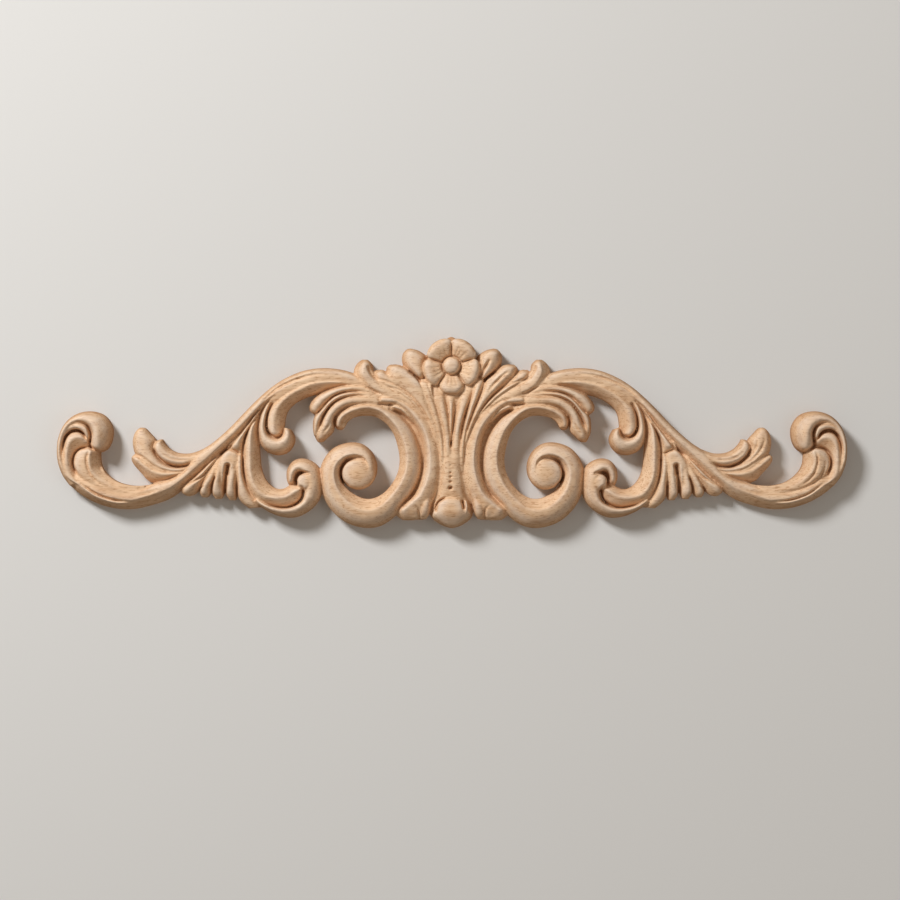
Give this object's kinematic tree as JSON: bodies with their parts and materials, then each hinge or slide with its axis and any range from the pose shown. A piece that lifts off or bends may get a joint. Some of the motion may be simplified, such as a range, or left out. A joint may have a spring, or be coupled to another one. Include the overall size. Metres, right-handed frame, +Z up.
{
  "type": "carved scroll pediment onlay",
  "caption": "Carved wooden broken-pediment onlay: mirrored scrolls, leaf fans and palmettes meet at a flower over a fluted stem, on a flat back to be glued or pinned.",
  "frame": {"origin": "on the flat back, on the centre line, in the middle of the stem between the two large scrolls", "axes": "+X to the right seen from the front, +Z up to the flower, +Y out of the back into what it is fixed to; the carving faces -Y"},
  "size_m": [0.4746, 0.018, 0.115],
  "materials": {
    "bare_wood": "bare, sanded, fine-grained pale hardwood, unvarnished"
  },
  "bodies": {
    "root": {"scroll_pediment": "bare_wood"}
  },
  "joints": []
}
